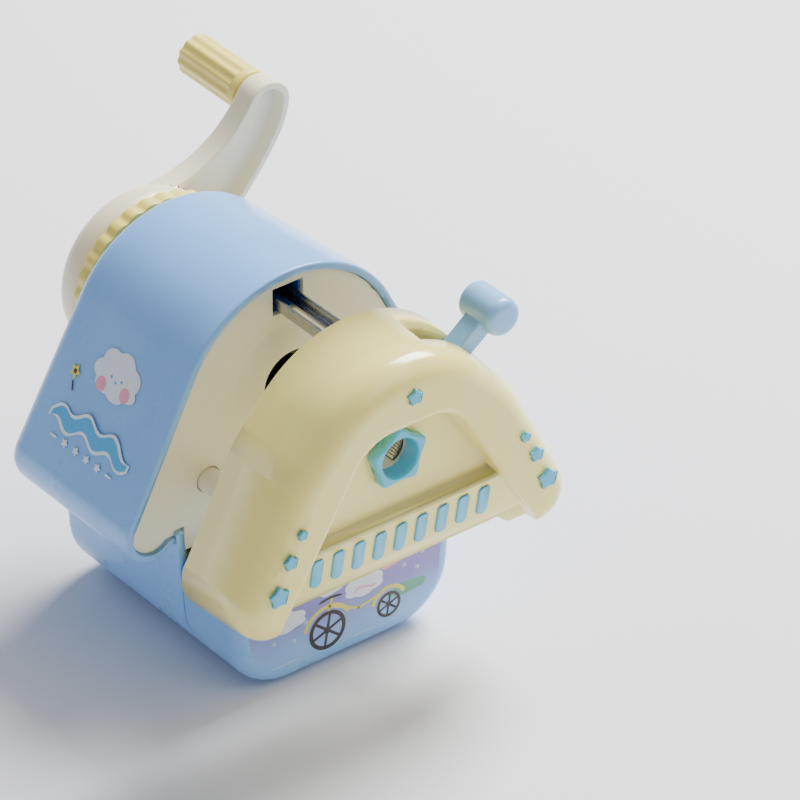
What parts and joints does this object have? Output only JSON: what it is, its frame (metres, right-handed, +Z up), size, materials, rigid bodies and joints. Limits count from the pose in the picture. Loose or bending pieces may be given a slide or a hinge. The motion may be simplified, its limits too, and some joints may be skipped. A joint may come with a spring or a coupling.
{
  "type": "hand crank pencil sharpener",
  "caption": "Desk pencil sharpener with a hooded body, a pull-out clamp carriage with release lever, a rear crank with spinning grip and a shavings drawer.",
  "frame": {"origin": "centre of the base's flat underside, between the four feet", "axes": "+Z up, +Y along the pencil's way in, from the clamp towards the crank, +X to the right seen from the front"},
  "size_m": [0.0794, 0.1128, 0.0872],
  "materials": {
    "blue_shell": "satin gloss moulded plastic, printed on the left side and the drawer",
    "blue_lever": "gloss moulded plastic",
    "ivory_plastic": "satin moulded plastic",
    "dark_plastic": "matte moulded plastic",
    "cream_gloss": "high gloss moulded plastic",
    "turquoise_plastic": "satin moulded plastic",
    "steel": "bright zinc plated",
    "spring_wire": "drawn spring wire",
    "cutter_steel": "ground and hardened steel",
    "white_plastic": "satin moulded plastic",
    "butter_plastic": "satin moulded plastic",
    "smoke_plastic": "clear to smoky moulded plastic",
    "foot_rubber": "matte"
  },
  "bodies": {
    "housing": {"hood_shell": "blue_shell", "base_tub": "blue_shell", "front_plate": "ivory_plastic", "ring_gear": "dark_plastic", "rear_bush": "ivory_plastic", "case_screw_left": "steel", "case_screw_right": "steel", "foot_1": "foot_rubber", "foot_2": "foot_rubber", "foot_3": "foot_rubber", "foot_4": "foot_rubber", "feed_spring_left": "spring_wire", "feed_spring_right": "spring_wire"},
    "carriage": {"carriage_shell": "cream_gloss", "carriage_back_plate": "cream_gloss", "star_boss": "turquoise_plastic", "stripe_insert": "turquoise_plastic", "star_top": "turquoise_plastic", "star_left_small": "turquoise_plastic", "star_left_medium": "turquoise_plastic", "star_left_large": "turquoise_plastic", "star_right_small": "turquoise_plastic", "star_right_medium": "turquoise_plastic", "star_right_large": "turquoise_plastic", "jaw_guide": "ivory_plastic", "feed_rail": "steel", "guide_rod_left": "ivory_plastic", "guide_rod_right": "ivory_plastic", "rod_screw_left": "steel", "rod_screw_right": "steel", "back_plate_screw_left": "steel", "back_plate_screw_right": "steel", "lever_spring": "spring_wire"},
    "lever": {"release_lever": "blue_lever"},
    "jaw_a": {"jaw_1": "steel"},
    "jaw_b": {"jaw_2": "steel"},
    "jaw_c": {"jaw_3": "steel"},
    "crank": {"crank_arm": "white_plastic", "crank_shaft": "steel", "crank_screw": "steel", "grip_pin": "steel", "cutter_carrier": "dark_plastic", "cutter_axle": "steel"},
    "cutter": {"helical_cutter": "cutter_steel", "cutter_pinion": "cutter_steel"},
    "grip": {"crank_grip": "butter_plastic"},
    "dial": {"adjuster_dial": "butter_plastic"},
    "drawer": {"drawer_front": "blue_shell", "drawer_tray": "smoke_plastic"}
  },
  "joints": [
    {"name": "carriage_slide", "type": "slide", "parent": "housing", "child": "carriage", "axis": [0, 1, 0], "range_m": [0, 0.0175], "deforming": ["feed_spring_left", "feed_spring_right"]},
    {"name": "lever_turn", "type": "hinge", "parent": "carriage", "child": "lever", "pos_m": [0, -0.0457, 0.0557], "axis": [0, -1, 0], "range_deg": [0, 25], "stiffness_Nm_per_rad": 0.15, "deforming": ["lever_spring"]},
    {"name": "jaw_a_slide", "type": "slide", "parent": "carriage", "child": "jaw_a", "axis": [0, 0, 1], "range_m": [0, 0.0012]},
    {"name": "jaw_b_slide", "type": "slide", "parent": "carriage", "child": "jaw_b", "axis": [-0.866, 0, -0.5], "range_m": [0, 0.0012]},
    {"name": "jaw_c_slide", "type": "slide", "parent": "carriage", "child": "jaw_c", "axis": [0.866, 0, -0.5], "range_m": [0, 0.0012]},
    {"name": "crank_turn", "type": "hinge", "parent": "housing", "child": "crank", "pos_m": [0, 0.02, 0.0557], "axis": [0, 1, 0], "continuous": true},
    {"name": "cutter_spin", "type": "hinge", "parent": "crank", "child": "cutter", "pos_m": [0.0084, -0.0123, 0.0557], "axis": [-0.1748, 0.9846, 0], "continuous": true},
    {"name": "grip_spin", "type": "hinge", "parent": "crank", "child": "grip", "pos_m": [0.0321, 0.045, 0.0814], "axis": [0, 1, 0], "continuous": true},
    {"name": "dial_turn", "type": "hinge", "parent": "crank", "child": "dial", "pos_m": [0, 0.0232, 0.0557], "axis": [0, 1, 0], "range_deg": [0, 120]},
    {"name": "drawer_slide", "type": "slide", "parent": "housing", "child": "drawer", "axis": [0, -1, 0], "range_m": [0, 0.034]}
  ],
  "couplings": [
    {"joint": "jaw_a_slide", "follows": "lever_turn", "m_per_rad": 0.00275},
    {"joint": "jaw_b_slide", "follows": "lever_turn", "m_per_rad": 0.00275},
    {"joint": "jaw_c_slide", "follows": "lever_turn", "m_per_rad": 0.00275},
    {"joint": "cutter_spin", "follows": "crank_turn", "ratio": -3.3333}
  ]
}
